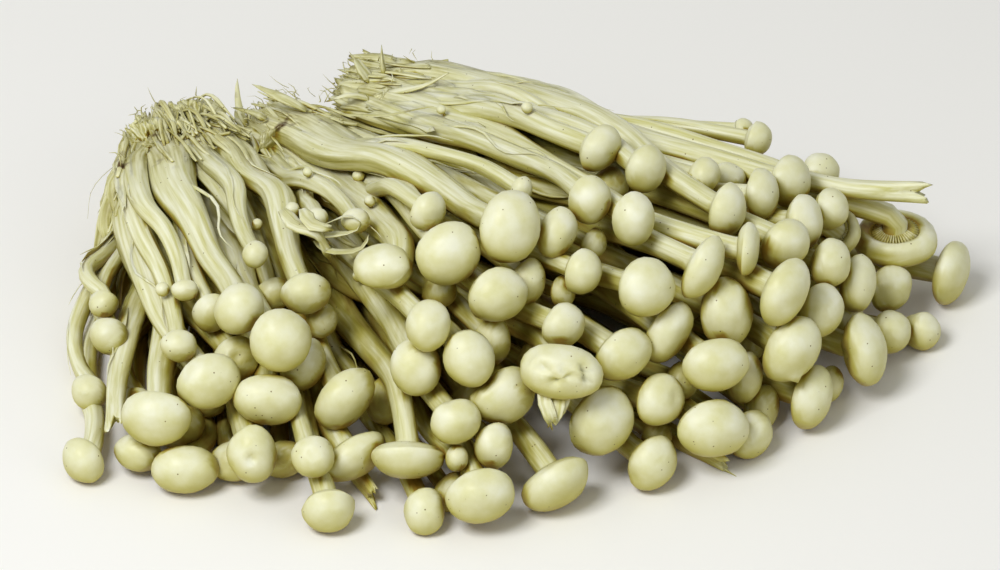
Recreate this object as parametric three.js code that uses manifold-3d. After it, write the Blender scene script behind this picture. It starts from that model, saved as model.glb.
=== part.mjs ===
// Enoki mushroom cluster lying on a flat surface: three clumps whose stems leave a torn butt
// at the back left and fan out to the caps at the front and right.
// Millimetres and degrees. +X runs to the right, +Y to the back, +Z up.
// The origin is under the middle of the cluster's bounding box, on the surface it lies on.

import * as THREE from "three";
import { mergeVertices } from "three/addons/utils/BufferGeometryUtils.js";
import Module from "manifold-3d";

const wasm = await Module();
wasm.setup();

// ---- Driving dimensions ---------------------------------------------------------------------

const SIDES = 6; // flats around a stem and its cap
const STEM_PER_CAP = 0.18; // a stem's radius for each millimetre of its cap's diameter
const THINNEST_STEM = 1.2; // stem radii at the cap
const THICKEST_STEM = 1.85;
const STRIP_RADIUS = 1.5; // a torn stem that has lost its cap
const FOOT_SHARE = 0.72; // stems crowd together at the butt, so they are this much thinner there
const FULL_FROM = 0.4; // and reach their full radius this far up
const SMALL_CAP = 5; // below this diameter a cap is a ball, above LARGE_CAP it is a dome
const LARGE_CAP = 12;
const BALL_HEIGHT = 0.86; // a cap's height as a share of its diameter
const DOME_HEIGHT = 0.7;
const WIDEST_AT = 0.38; // where a cap is widest, from its underside, as a share of its height
const STATIONS = [0, 0.25, 0.47, 0.66, 0.83, 1]; // the rings of a stem, from its foot to its neck

const BACK_WIDTH = 0.55; // the torn back of a butt as a share of its front
const BACK_HEIGHT = 0.85;
const BUTT_CORNER = 4; // rounding of a butt's lower edges
const SEAM = 0.35; // gap between a butt and the stems that leave it
const APEX = 34; // the stems spread from a point this far behind the front of their butt
const ROW = 4; // tufts side by side across a butt
const EDGE = 3; // from the middle of a foot to the rim of its butt
const FUSED = 0.74; // stems grown together stand this close, as a share of their two radii
const PARTING = 0.2; // such stems part this far up
const BEND = 1.6; // how far a stem strays sideways from an even curve
const REACH = 0.36; // how far a stem keeps its first direction, as a share of its length
const NECK_REACH = 0.2; // and its last
const APPROACH = 12; // a stem's height this far before its cap decides its row on the butt
const TURN = 10; // how far a cap may face to either side of straight outward
const TILT = 8; // how far up a cap faces
const TILT_SPREAD = 12;

const ROOM = 1.0; // space kept between two mushrooms while they settle
const ROUNDS = 360; // settling steps
const LINKS = 30; // points along a stem while it settles
const LONGEST_STRETCH = 5; // between two such points
const SEED = 101; // of the small irregularities
const STIFF = 0.35; // how strongly a stem keeps its bend at first and
const LIMP = 0.03; // at the end
const NECK_LINKS = 4; // that follow the way the crown faces
const HOMING = 0.04; // how strongly a cap returns to its place, except
const FACE = new THREE.Vector3(0, -0.8, 0.6); // square to the sloping face of the heap, where
const SINK = 9; // it may go this far in
const RISE = 5; // or this far out
const CLEAR = 0.15; // between the surface and what lies on it

// ---- The mushrooms --------------------------------------------------------------------------

// One mushroom: the place of its cap's middle, the cap's diameter, and, where it matters, the way
// its crown faces, as a compass angle from +X and a tilt above the surface.
// A diameter of 0 is a stem that has lost its cap, and ends there.
const capAt = (x, y, z, diameter, bearing = null, tilt = null) => ({
  cap: new THREE.Vector3(x, y, z),
  diameter,
  bearing,
  tilt,
});

// A tuft holds the mushrooms whose stems have grown together at the foot.
const CLUMPS = {
  left: {
    butt: { x: -65, y: 9, width: 28, height: 30, length: 18, bearing: -82 },
    tufts: {
      outlier: [capAt(-83, -64, 4.5, 8.4, -125, -5)],
      rim_tuft: [capAt(-80, -25, 14, 5.6), capAt(-79, -33, 12, 7.2), capAt(-82, -42, 4, 6.8)],
      torn_stem: [capAt(-76, -55, 9, 0)],
      upper_tuft: [capAt(-49, -35, 34, 5), capAt(-46, -36, 25, 6.8)],
      slender_tuft: [capAt(-63, -39, 28, 4.6), capAt(-64, -48, 21, 6.4)],
      shoulder_tuft: [capAt(-51, -46, 28, 9.4), capAt(-58, -42, 25, 7.4)],
      crest_tuft: [capAt(-44, -53, 26, 11.6), capAt(-39, -52, 18, 9.4)],
      inner_tuft: [capAt(-39, -41, 29, 8.8), capAt(-36, -41, 22, 6.4)],
      middle_tuft: [capAt(-58, -56, 18, 11.2), capAt(-52, -50, 17, 9)],
      stacked_pair: [capAt(-67, -60, 12, 12), capAt(-66, -58, 6, 10.8)],
      corner_tuft: [capAt(-72, -61, 4.4, 8), capAt(-74, -50, 7, 7), capAt(-60, -51, 8, 7)],
      front_tuft: [capAt(-63, -67, 5.4, 10.5), capAt(-53, -67, 4.4, 8.2), capAt(-52, -52, 8, 8)],
      dimpled_pair: [capAt(-49, -65, 10, 10.4), capAt(-46, -61, 15, 11.4)],
      foremost_pair: [capAt(-34, -80, 5, 9.8, -80, -15), capAt(-37, -71, 11, 7.8)],
      right_tuft: [capAt(-31, -60, 14, 11.4), capAt(-23, -50, 9, 8.8)],
      low_tuft: [capAt(-28, -65, 6, 11), capAt(-43, -64, 5, 7.8), capAt(-25, -73, 2.2, 0)],
    },
  },
  middle: {
    butt: { x: -41.5, y: 20.4, width: 23, height: 29, length: 13, bearing: -55 },
    tufts: {
      small_pair: [capAt(-29, -29, 38, 5), capAt(-37, -27, 37, 4.4)],
      sideways_mushroom: [capAt(-23, -45, 38, 10, -160, 10)],
      rear_tuft: [capAt(-14, -35, 42, 7.2), capAt(-12, -44, 32, 6.6)],
      broad_mushroom: [capAt(-10, -47, 43, 12.2)],
      top_tuft: [capAt(2, -41, 45, 12.6), capAt(4, -27, 44, 4.6)],
      shaded_tuft: [capAt(-1, -49, 35, 11.2), capAt(5, -45, 33, 8)],
      left_edge_tuft: [capAt(-14, -59, 34, 9), capAt(-16, -63, 27, 10.2)],
      centre_tuft: [capAt(-7, -61, 28, 10.2), capAt(-2, -54, 27, 8.4)],
      hanging_mushroom: [capAt(-19, -70, 7.6, 13, -90, -38)],
      pebble_tuft: [capAt(-9, -69, 18, 9.2), capAt(-9.5, -70, 9, 4.6)],
      heart_mushroom: [capAt(1, -65, 22, 11.2), capAt(-6, -54, 12, 8)],
      front_tuft: [
        capAt(-4, -76, 6, 11.8),
        capAt(-2, -71, 13, 8.2),
        capAt(-10, -74, 4, 7),
        capAt(-16, -74, 4.3, 8.4),
      ],
      leaning_mushroom: [capAt(11, -74, 6.6, 12.8, -60, -22)],
      folded_mushroom: [capAt(12, -64, 27, 12.4, -90, 20), capAt(12, -54, 29, 8.8)],
      notch_tuft: [capAt(10, -39, 39, 8.6), capAt(18, -34, 36, 6)],
      ball_tuft: [capAt(16, -46, 38, 8.4), capAt(12, -46, 33, 5.4)],
      slanting_mushroom: [capAt(24, -56, 25, 11), capAt(7, -47, 16, 8)],
      round_mushroom: [capAt(20, -63, 14, 13.2), capAt(31, -58, 6, 6)],
      right_tuft: [capAt(31, -58, 15, 10), capAt(36, -50, 12, 7)],
      low_mushroom: [capAt(30, -66, 5.4, 10.4, -50, 0), capAt(45, -63, 2.4, 0)],
      outer_tuft: [capAt(29, -46, 33, 11.4), capAt(34, -50, 26, 10.6)],
    },
  },
  right: {
    butt: { x: -20, y: 34, width: 22, height: 29, length: 13, bearing: -38 },
    tufts: {
      upper_pair: [capAt(22, -8, 40, 9), capAt(22, -12, 34, 7.6)],
      rear_pair: [capAt(29, -14, 40, 9), capAt(17, 3, 35, 5.4)],
      ridge_pair: [capAt(19, -28, 42, 8.8), capAt(26, -32, 41, 9.2)],
      ridge_tuft: [capAt(45, -24, 37, 9.6), capAt(41, -10, 35, 6.6)],
      back_pair: [capAt(52, 14, 27, 7, -20, 0), capAt(50, 20, 25, 4.4)],
      saddle_tuft: [
        capAt(58, -12, 34, 9.8),
        capAt(46, -6, 31, 8, -30, 0),
        capAt(52, -15, 30, 9),
        capAt(61, -19, 29, 9.6),
      ],
      far_pair: [capAt(65, 1, 28, 7.8), capAt(66, -11, 27, 8), capAt(86, -10, 31, 0)],
      brow_pair: [capAt(57, -30, 33, 10), capAt(66, -29, 27, 8.8)],
      edge_on_tuft: [capAt(49, -35, 33, 9.4, -10, 0), capAt(41, -39, 35, 10)],
      peaked_mushroom: [capAt(45, -46, 28, 12), capAt(38, -34, 22, 8)],
      oval_tuft: [capAt(56, -41, 28, 11.4), capAt(50, -38, 15, 9)],
      left_edge_pair: [capAt(42, -52, 18, 11.6), capAt(49, -48, 13, 8.6)],
      low_pair: [capAt(43, -57, 9, 12.6), capAt(49, -55, 4.8, 9)],
      tailed_mushroom: [capAt(58, -45, 19, 12), capAt(54, -50, 6, 8)],
      flank_pair: [capAt(64, -36, 21, 10), capAt(72, -26, 20, 9)],
      lobed_mushroom: [capAt(73, -36, 11, 12), capAt(70, -25, 9, 8)],
      front_pair: [capAt(61, -48, 8, 10.8), capAt(66, -40, 5, 6.6)],
      shadow_tuft: [capAt(79, -13, 9, 9.2), capAt(79, -22, 4.6, 8.4), capAt(86, -21, 3.8, 7)],
      outlier: [capAt(92, -5, 7, 11.8, -22, 0)],
      gilled_pair: [capAt(79, -2, 15, 14.6, 40, -68), capAt(70, -5, 17, 9, 40, -50)],
    },
  },
};

// ---- Helpers --------------------------------------------------------------------------------

const degrees = THREE.MathUtils.degToRad;
const UP = new THREE.Vector3(0, 0, 1);

// A unit vector at a compass angle from +X and a tilt above the surface.
function pointing(bearing, tilt = 0) {
  const flat = Math.cos(degrees(tilt));
  return new THREE.Vector3(
    flat * Math.cos(degrees(bearing)),
    flat * Math.sin(degrees(bearing)),
    Math.sin(degrees(tilt)),
  );
}

const { clamp, lerp, smoothstep } = THREE.MathUtils;

const between = (a, b) => a.clone().add(b).multiplyScalar(0.5);

// The same small irregularities every time: a seeded stream of numbers from -1 to 1.
function irregular(seed) {
  let state = seed;
  return () => {
    state = (state * 16807) % 2147483647;
    return (state / 2147483647) * 2 - 1;
  };
}

// ---- Settling the stems ---------------------------------------------------------------------

const stemRadius = ({ diameter }) =>
  diameter ? clamp(STEM_PER_CAP * diameter, THINNEST_STEM, THICKEST_STEM) : STRIP_RADIUS;

// Shares out the front of a butt among its tufts: the tufts whose stems come to their caps from
// the highest places on top, and each row in the order in which its caps fan out.
function shareOutFeet({ butt, tufts }) {
  const axis = pointing(butt.bearing);
  const side = new THREE.Vector3(-axis.y, axis.x, 0);
  const front = new THREE.Vector3(butt.x, butt.y, 0).addScaledVector(axis, SEAM);
  const meanOf = (tuft, measure) => tuft.reduce((sum, one) => sum + measure(one), 0) / tuft.length;
  const fanOf = ({ cap }) => {
    const reach = cap.clone().sub(front);
    return Math.atan2(reach.dot(side), reach.dot(axis));
  };
  const comesFrom = ({ cap, tilt }) => cap.z - APPROACH * Math.sin(degrees(tilt ?? TILT));
  const byHeight = Object.values(tufts).sort((a, b) => meanOf(a, comesFrom) - meanOf(b, comesFrom));
  const rows = Math.ceil(byHeight.length / ROW);
  for (let row = 0; row < rows; row++) {
    const members = byHeight.slice(row * ROW, (row + 1) * ROW);
    members.sort((a, b) => meanOf(a, fanOf) - meanOf(b, fanOf));
    members.forEach((tuft, column) => {
      const across = members.length > 1 ? (2 * column) / (members.length - 1) - 1 : 0;
      const foot = front.clone().addScaledVector(side, across * (butt.width / 2 - EDGE));
      foot.z = lerp(EDGE, butt.height - 1.5 * EDGE, row / (rows - 1));
      tuft.forEach((one, order) => {
        Object.assign(one, { butt, axis, side, front, foot: foot.clone() });
        if (!order) return;
        const beside = FUSED * FOOT_SHARE * (stemRadius(tuft[0]) + stemRadius(one));
        const turn = (order - 1) * degrees(120);
        one.foot.addScaledVector(side, beside * Math.cos(turn));
        one.foot.z += beside * Math.sin(turn);
      });
    });
  }
}

// Gives a mushroom its sizes, the way its crown faces and a first route from the butt to its cap.
function plant(mushroom, wobble) {
  const { cap, diameter, foot, butt, axis, side, front } = mushroom;
  const reach = cap.clone().sub(front);
  const size = smoothstep(diameter, SMALL_CAP, LARGE_CAP);
  const outward = THREE.MathUtils.radToDeg(Math.atan2(reach.y, reach.x));
  const facing = pointing(
    mushroom.bearing ?? outward + TURN * wobble(),
    mushroom.tilt ?? TILT + TILT_SPREAD * wobble(),
  );

  const leave = axis.clone().multiplyScalar(APEX);
  leave.addScaledVector(side, foot.clone().sub(front).dot(side));
  leave.z += foot.z - 0.3 * butt.height;
  const span = foot.distanceTo(cap);
  const route = new THREE.CubicBezierCurve3(
    foot,
    foot.clone().addScaledVector(leave.normalize(), span * REACH),
    cap.clone().addScaledVector(facing, -span * NECK_REACH),
    cap.clone(),
  );
  const links = route.getSpacedPoints(LINKS);
  const sway = [wobble(), wobble(), wobble(), wobble()].map((share) => share * BEND);
  links.forEach((link, i) => {
    const once = Math.sin((Math.PI * i) / LINKS);
    const twice = Math.sin((2 * Math.PI * i) / LINKS);
    link.addScaledVector(side, sway[0] * once + sway[1] * twice);
    link.z += sway[2] * once + sway[3] * twice;
  });
  const rest = links.map((link, i) =>
    i && i < LINKS ? link.clone().sub(between(links[i - 1], links[i + 1])) : new THREE.Vector3(),
  );

  Object.assign(mushroom, {
    facing,
    links,
    rest,
    home: cap.clone(),
    capRadius: diameter / 2,
    capHeight: diameter * lerp(BALL_HEIGHT, DOME_HEIGHT, size),
  });
}

// A stem's radius at a share of its length.
const radiusAt = (mushroom, share) =>
  stemRadius(mushroom) * lerp(FOOT_SHARE, 1, Math.min(share / FULL_FROM, 1));

const thickness = (mushroom, link) =>
  link === LINKS && mushroom.diameter ? mushroom.capRadius : radiusAt(mushroom, link / LINKS);

// A stem as short straight stretches, each between two links, and a last one of no length for
// the cap or the torn end.
function stretchesOf(owner) {
  return owner.links.map((from, link) => {
    const to = owner.links[Math.min(link + 1, LINKS)];
    return { owner, link, from, to, middle: from.clone(), radius: thickness(owner, link) };
  });
}

// Where two stretches are nearest, as shares of their lengths.
function nearest(a, b) {
  const along = a.to.clone().sub(a.from);
  const other = b.to.clone().sub(b.from);
  const offset = a.from.clone().sub(b.from);
  const [aa, bb, ab] = [along.lengthSq(), other.lengthSq(), along.dot(other)];
  const [ao, bo] = [along.dot(offset), other.dot(offset)];
  const cross = aa * bb - ab * ab;
  let onA = cross > 1e-9 ? clamp((ab * bo - ao * bb) / cross, 0, 1) : 0;
  const onB = bb > 1e-9 ? clamp((ab * onA + bo) / bb, 0, 1) : 0;
  onA = aa > 1e-9 ? clamp((ab * onB - ao) / aa, 0, 1) : 0;
  return [onA, onB];
}

// Pushes two stretches apart, square to both, if they are closer than their radii and ROOM.
function pushApart(a, b) {
  if (a.owner === b.owner) return;
  if (a.owner.tuft === b.owner.tuft && Math.min(a.link, b.link) < PARTING * LINKS) return;
  const need = a.radius + b.radius + ROOM;
  if (a.middle.distanceTo(b.middle) > need + LONGEST_STRETCH) return;
  const [onA, onB] = nearest(a, b);
  const push = b.from.clone().lerp(b.to, onB).sub(a.from.clone().lerp(a.to, onA));
  const apart = push.length();
  if (apart >= need) return;
  push.multiplyScalar(((need - apart) / (apart + 1e-6)) * 0.5);
  const shareOfA = b.radius / (a.radius + b.radius);
  const shove = (stretch, on, share) => {
    stretch.from.addScaledVector(push, share * (1 - on));
    if (stretch.to !== stretch.from) stretch.to.addScaledVector(push, share * on);
  };
  shove(a, onA, -shareOfA);
  shove(b, onB, 1 - shareOfA);
}

// Parts the stems from the stems near them, found with a grid of cells, and the caps from all.
function separate(stems, caps) {
  const CELL = 2 * THICKEST_STEM + ROOM + LONGEST_STRETCH;
  const ACROSS = 256;
  const cells = new Map();
  for (const stretch of stems) {
    stretch.middle.copy(between(stretch.from, stretch.to));
    const [i, j, k] = stretch.middle.toArray().map((v) => Math.floor(v / CELL) + ACROSS / 2);
    const cell = (i * ACROSS + j) * ACROSS + k;
    if (cells.has(cell)) cells.get(cell).push(stretch);
    else cells.set(cell, [stretch]);
  }
  for (const [cell, members] of cells) {
    for (let i = -1; i <= 1; i++)
      for (let j = -1; j <= 1; j++)
        for (let k = -1; k <= 1; k++) {
          const step = (i * ACROSS + j) * ACROSS + k;
          if (step < 0 || !cells.has(cell + step)) continue;
          const others = cells.get(cell + step);
          members.forEach((a, n) => {
            for (let o = step ? 0 : n + 1; o < others.length; o++) pushApart(a, others[o]);
          });
        }
  }
  caps.forEach((a) => a.middle.copy(a.from));
  caps.forEach((a, i) => {
    for (const b of stems) pushApart(a, b);
    for (const b of caps.slice(i + 1)) pushApart(a, b);
  });
}

// Takes kinks out of a stem by moving each link towards its place in the stem's own easy bend.
function relax({ links, rest }, strength) {
  for (let i = 1; i < LINKS; i++) {
    links[i].lerp(between(links[i - 1], links[i + 1]).add(rest[i]), strength);
  }
}

// Keeps a foot in its place, its stem square to the butt there, its cap near its own place, its
// neck in line with the way the crown faces, and everything above the surface.
function hold(mushroom) {
  const { links, foot, axis, facing, home } = mushroom;
  links[0].copy(foot);
  links[1].copy(foot).addScaledVector(axis, links[1].distanceTo(links[2]));

  const cap = links[LINKS];
  const drift = cap.clone().sub(home);
  const deep = drift.dot(FACE);
  drift.addScaledVector(FACE, -deep).multiplyScalar(1 - HOMING);
  cap.copy(home).add(drift).addScaledVector(FACE, clamp(deep, -SINK, RISE));
  const step = links[LINKS - 3].distanceTo(links[LINKS - 2]);
  for (let back = 1; back <= NECK_LINKS; back++) {
    links[LINKS - back].lerp(cap.clone().addScaledVector(facing, -step * back), 0.5 / back);
  }
  links.forEach((link, i) => {
    link.z = Math.max(link.z, thickness(mushroom, i) + CLEAR);
  });
}

// The stems start stiff and end limp, so that none is left inside another.
function settle(mushrooms) {
  const stretches = mushrooms.flatMap(stretchesOf);
  const isCap = ({ link, owner }) => link === LINKS && owner.diameter > 0;
  const caps = stretches.filter(isCap);
  const stems = stretches.filter((stretch) => !isCap(stretch));
  for (let round = 0; round < ROUNDS; round++) {
    const strength = lerp(STIFF, LIMP, round / ROUNDS);
    mushrooms.forEach((mushroom) => relax(mushroom, strength));
    separate(stems, caps);
    mushrooms.forEach(hold);
  }
}

// ---- Solids ---------------------------------------------------------------------------------

// The outline of a whole mushroom, from the middle of its foot to its crown, as radii and lengths.
function outline(mushroom, length) {
  const { capRadius, capHeight, diameter } = mushroom;
  const neck = diameter ? length - capHeight * WIDEST_AT : length;
  const stem = STATIONS.map((share) => new THREE.Vector2(radiusAt(mushroom, share), share * neck));
  const cap = [
    new THREE.Vector2(capRadius * 0.78, neck + 0.04 * capHeight),
    new THREE.Vector2(capRadius, neck + WIDEST_AT * capHeight),
    new THREE.Vector2(capRadius * 0.7, neck + 0.8 * capHeight),
    new THREE.Vector2(0, neck + capHeight),
  ];
  const end = diameter ? cap : [new THREE.Vector2(0, length)];
  return [new THREE.Vector2(0, 0), ...stem, ...end];
}

// A mushroom's solid: its outline turned about a straight axis, then bent along its route.
function mushroomSolid(mushroom) {
  const beyond = mushroom.capHeight * (1 - WIDEST_AT);
  const cap = mushroom.links[LINKS];
  const route = new THREE.CatmullRomCurve3(mushroom.links, false, "centripetal");
  const length = route.getLength();
  const DIVISIONS = 400;
  const frames = route.computeFrenetFrames(DIVISIONS, false);
  const turned = new THREE.LatheGeometry(outline(mushroom, length), SIDES);
  const position = turned.getAttribute("position");
  const at = new THREE.Vector3();
  for (let i = 0; i < position.count; i++) {
    const along = position.getY(i);
    const share = Math.min(along / length, 1);
    const frame = Math.round(share * DIVISIONS);
    const axis = frames.tangents[frame];
    const first = frames.normals[frame];
    const second = new THREE.Vector3().crossVectors(first, axis);
    if (along > length - 0.001) {
      at.copy(cap).addScaledVector(axis, Math.min(along - length, beyond));
    } else {
      route.getPointAt(share, at);
    }
    at.addScaledVector(first, position.getX(i)).addScaledVector(second, position.getZ(i));
    position.setXYZ(i, at.x, at.y, at.z);
  }
  return solidOf(turned);
}

// A closed manifold-3d solid from a three.js geometry.
function solidOf(geometry) {
  const bare = geometry.index ? geometry.toNonIndexed() : geometry.clone();
  bare.deleteAttribute("normal");
  bare.deleteAttribute("uv");
  const merged = mergeVertices(bare, 1e-3);
  return new wasm.Manifold(
    new wasm.Mesh({
      numProp: 3,
      vertProperties: merged.attributes.position.array,
      triVerts: new Uint32Array(merged.index.array),
    }),
  );
}

// A three.js geometry from a manifold-3d solid.
function geometryOf(solid) {
  const { numProp, vertProperties, triVerts, numVert } = solid.getMesh();
  const points = new Float32Array(numVert * 3);
  for (let i = 0; i < numVert; i++) {
    points.set(vertProperties.subarray(i * numProp, i * numProp + 3), i * 3);
  }
  const geometry = new THREE.BufferGeometry();
  geometry.setAttribute("position", new THREE.BufferAttribute(points, 3));
  geometry.setIndex(new THREE.BufferAttribute(triVerts, 1));
  geometry.computeVertexNormals();
  return geometry;
}

// The butt that a clump's stems leave: a flat underside and a rounded top, narrowing from the
// front, where the stems leave it, to the back, where it was torn off.
function buttGeometry({ width, height, length }) {
  const half = width / 2;
  const outline = new THREE.Shape();
  outline.moveTo(-half + BUTT_CORNER, 0);
  outline.lineTo(half - BUTT_CORNER, 0);
  outline.quadraticCurveTo(half, 0, half, BUTT_CORNER);
  outline.lineTo(half, height * 0.55);
  outline.bezierCurveTo(half, height * 0.95, half * 0.8, height, 0, height);
  outline.bezierCurveTo(-half * 0.8, height, -half, height * 0.95, -half, height * 0.55);
  outline.lineTo(-half, BUTT_CORNER);
  outline.quadraticCurveTo(-half, 0, -half + BUTT_CORNER, 0);
  const butt = new THREE.ExtrudeGeometry(outline, {
    depth: length,
    steps: 1,
    curveSegments: 5,
    bevelEnabled: false,
  });
  const position = butt.getAttribute("position");
  for (let i = 0; i < position.count; i++) {
    const forward = position.getZ(i) / length;
    position.setX(i, position.getX(i) * lerp(BACK_WIDTH, 1, forward));
    position.setY(i, position.getY(i) * lerp(BACK_HEIGHT, 1, forward));
  }
  butt.computeVertexNormals();
  return butt;
}

// ---- Materials ------------------------------------------------------------------------------

// Moist, faintly glossy flesh, ivory with a yellow-green cast.
const flesh = () => new THREE.MeshStandardMaterial({ color: 0xe6e4bf, roughness: 0.45, metalness: 0 });

// The torn butt is matt, fibrous and a duller olive.
const tornFlesh = () =>
  new THREE.MeshStandardMaterial({ color: 0xb9b384, roughness: 0.85, metalness: 0 });

// ---- The cluster ----------------------------------------------------------------------------

const cluster = new THREE.Group();
const wobble = irregular(SEED);
const all = [];

for (const [clumpName, clump] of Object.entries(CLUMPS)) {
  shareOutFeet(clump);
  for (const [tuftName, tuft] of Object.entries(clump.tufts)) {
    for (const mushroom of tuft) {
      plant(mushroom, wobble);
      mushroom.tuft = `${clumpName}_${tuftName}`;
      all.push(mushroom);
    }
  }
}
settle(all);

for (const [clumpName, clump] of Object.entries(CLUMPS)) {
  const { butt } = clump;
  const slab = new THREE.Mesh(buttGeometry(butt), tornFlesh());
  slab.name = `${clumpName}_butt`;
  const axis = pointing(butt.bearing);
  const across = new THREE.Vector3().crossVectors(UP, axis);
  slab.quaternion.setFromRotationMatrix(new THREE.Matrix4().makeBasis(across, UP, axis));
  slab.position.set(butt.x, butt.y, 0).addScaledVector(axis, -butt.length);
  cluster.add(slab);

  for (const [tuftName, tuft] of Object.entries(clump.tufts)) {
    const solid = wasm.Manifold.union(tuft.map(mushroomSolid));
    const mesh = new THREE.Mesh(geometryOf(solid), flesh());
    mesh.name = `${clumpName}_${tuftName}`;
    cluster.add(mesh);
  }
}

const box = new THREE.Box3().setFromObject(cluster, true);
const middle = box.getCenter(new THREE.Vector3());
cluster.position.set(-middle.x, -middle.y, -box.min.z);

export default cluster;
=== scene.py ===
# %% [markdown]
# # A cluster of enoki mushrooms
# Enoki grow in a dense tuft from one block. Here three clumps of them lie on their side. Each
# has a torn, fibrous butt at the back, and its long thin stems fan out to small round caps. The
# engineering model gives every mushroom a place as a plain six-sided body. This script reads
# those places and makes the flesh: bent stems, soft caps, torn butts, and a moist, translucent
# finish.

# %% Load the frame
import math
import random
from dataclasses import dataclass

import bmesh
import bpy
from mathutils import Matrix, Vector, noise
from mathutils.bvhtree import BVHTree
from mathutils.geometry import interpolate_bezier


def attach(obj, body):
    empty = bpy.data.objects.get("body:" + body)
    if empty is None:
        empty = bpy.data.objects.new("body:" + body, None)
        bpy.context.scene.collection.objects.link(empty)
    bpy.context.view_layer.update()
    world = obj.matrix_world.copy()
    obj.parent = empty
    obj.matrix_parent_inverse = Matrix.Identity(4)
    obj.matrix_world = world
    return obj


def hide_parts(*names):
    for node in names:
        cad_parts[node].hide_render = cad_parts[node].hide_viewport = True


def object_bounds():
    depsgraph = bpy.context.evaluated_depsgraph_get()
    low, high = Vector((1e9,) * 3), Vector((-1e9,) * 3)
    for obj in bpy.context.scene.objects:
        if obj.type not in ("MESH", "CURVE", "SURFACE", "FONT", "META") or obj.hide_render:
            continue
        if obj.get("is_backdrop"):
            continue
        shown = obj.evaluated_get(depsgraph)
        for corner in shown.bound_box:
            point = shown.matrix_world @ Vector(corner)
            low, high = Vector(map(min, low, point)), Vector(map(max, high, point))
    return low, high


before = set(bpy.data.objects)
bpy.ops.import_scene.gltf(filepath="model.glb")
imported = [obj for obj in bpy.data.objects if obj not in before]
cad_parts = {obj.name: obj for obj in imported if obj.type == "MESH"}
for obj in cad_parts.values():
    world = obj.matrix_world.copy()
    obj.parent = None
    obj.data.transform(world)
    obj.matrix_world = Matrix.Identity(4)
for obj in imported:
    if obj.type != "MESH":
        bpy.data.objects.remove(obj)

cad_low, cad_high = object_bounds()
MM = 0.001
UP = Vector((0, 0, 1))
CLUMPS = ("left", "middle", "right")
print("CAD box, mm:", [round(side / MM, 1) for side in cad_high - cad_low])

# %% [markdown]
# ## Where the mushrooms are
# A CAD mushroom is a lathe shape: a crown, then ring after ring of six corners down to the foot.
# Its mesh arrives as loose triangles, so a copy is merged first. From the crown, each step along
# the edges reaches exactly one ring, so the rings' middles give the route of the stem and their
# radii give its size. Reading them here keeps every mushroom where the frame has it. The
# alternative, a second list of places in this script, could drift away from the frame.

# %% Read the rings of one node
SIDES = 6
NEAR_BUTT = 0.8 * MM     # a corner this close to a butt belongs to a foot
SHORTEST = 20 * MM       # every crown is farther than this from its foot
FULLER = 1.1             # a six-sided ring is narrower than the round cap it stands for


def merged_copy(node):
    """A bmesh of a node's solid, with its loose triangles joined."""
    mesh = bmesh.new()
    mesh.from_mesh(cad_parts[node].data)
    bmesh.ops.remove_doubles(mesh, verts=mesh.verts, dist=0.004 * MM)
    return mesh


def middle_of(points):
    """The mean of some points."""
    points = list(points)
    return sum(points, Vector()) / len(points)


def rings_from(tip):
    """The rings below a tip, as their middles and radii, as far as they are whole."""
    rings = []
    ring, seen = {tip}, {tip}
    while True:
        ring = {edge.other_vert(corner) for corner in ring for edge in corner.link_edges} - seen
        if len(ring) != SIDES:
            return rings
        seen |= ring
        middle = middle_of(corner.co for corner in ring)
        radius = sum((corner.co - middle).length for corner in ring) / SIDES
        rings.append((middle, radius))


# %% Read every mushroom
@dataclass
class Mushroom:
    """A mushroom as the frame has it. Its form, height and line are added further down."""
    node: str
    clump: str
    route: list          # from the foot to the neck
    stem: float          # radius
    cap: float           # radius, 0 on a torn stem
    centre: Vector       # of the widest ring of the cap
    crown: Vector
    seed: int = 0

    @property
    def rise(self):
        """How far the crown is above the widest ring."""
        return (self.crown - self.centre).length


@dataclass
class Butt:
    """The torn base of a clump."""
    front: Vector        # the middle of the face that the stems leave
    axis: Vector         # out of that face, level
    length: float
    width: float
    height: float


def read_node(node, clump, butt_body):
    """The mushrooms of one node, the one with the largest cap first."""
    mesh = merged_copy(node)
    feet = [v.co.copy() for v in mesh.verts if butt_body.find_nearest(v.co)[3] < NEAR_BUTT]
    foot = middle_of(feet)
    found = []
    for tip in mesh.verts:
        if len(tip.link_edges) != SIDES or (tip.co - foot).length < SHORTEST:
            continue
        rings = rings_from(tip)
        if len(rings) < 3:
            continue
        pointed = (rings[0][0] - tip.co).length > 0.1 * MM
        neck = 3 if pointed else 0
        stations = [middle for middle, radius in rings[neck:]]
        if (stations[-1] - foot).length < 4 * MM:
            stations.pop()
        found.append((rings, neck, stations, tip.co.copy()))
    spread = middle_of(stations[-1] for rings, neck, stations, tip in found)
    mushrooms = []
    for rings, neck, stations, tip in found:
        # The stems of a tuft part a little already at their shared foot.
        lean = (stations[-1] - spread) * 0.3
        lean *= min(1, 1.2 * MM / (lean.length + 1e-9))
        cap = rings[1][1] * FULLER if neck else 0
        route = [foot + lean, *reversed(stations)]
        mushrooms.append(Mushroom(node, clump, route, rings[neck][1], cap, rings[1][0], tip))
    mesh.free()
    return sorted(mushrooms, key=lambda one: -one.cap)


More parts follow.
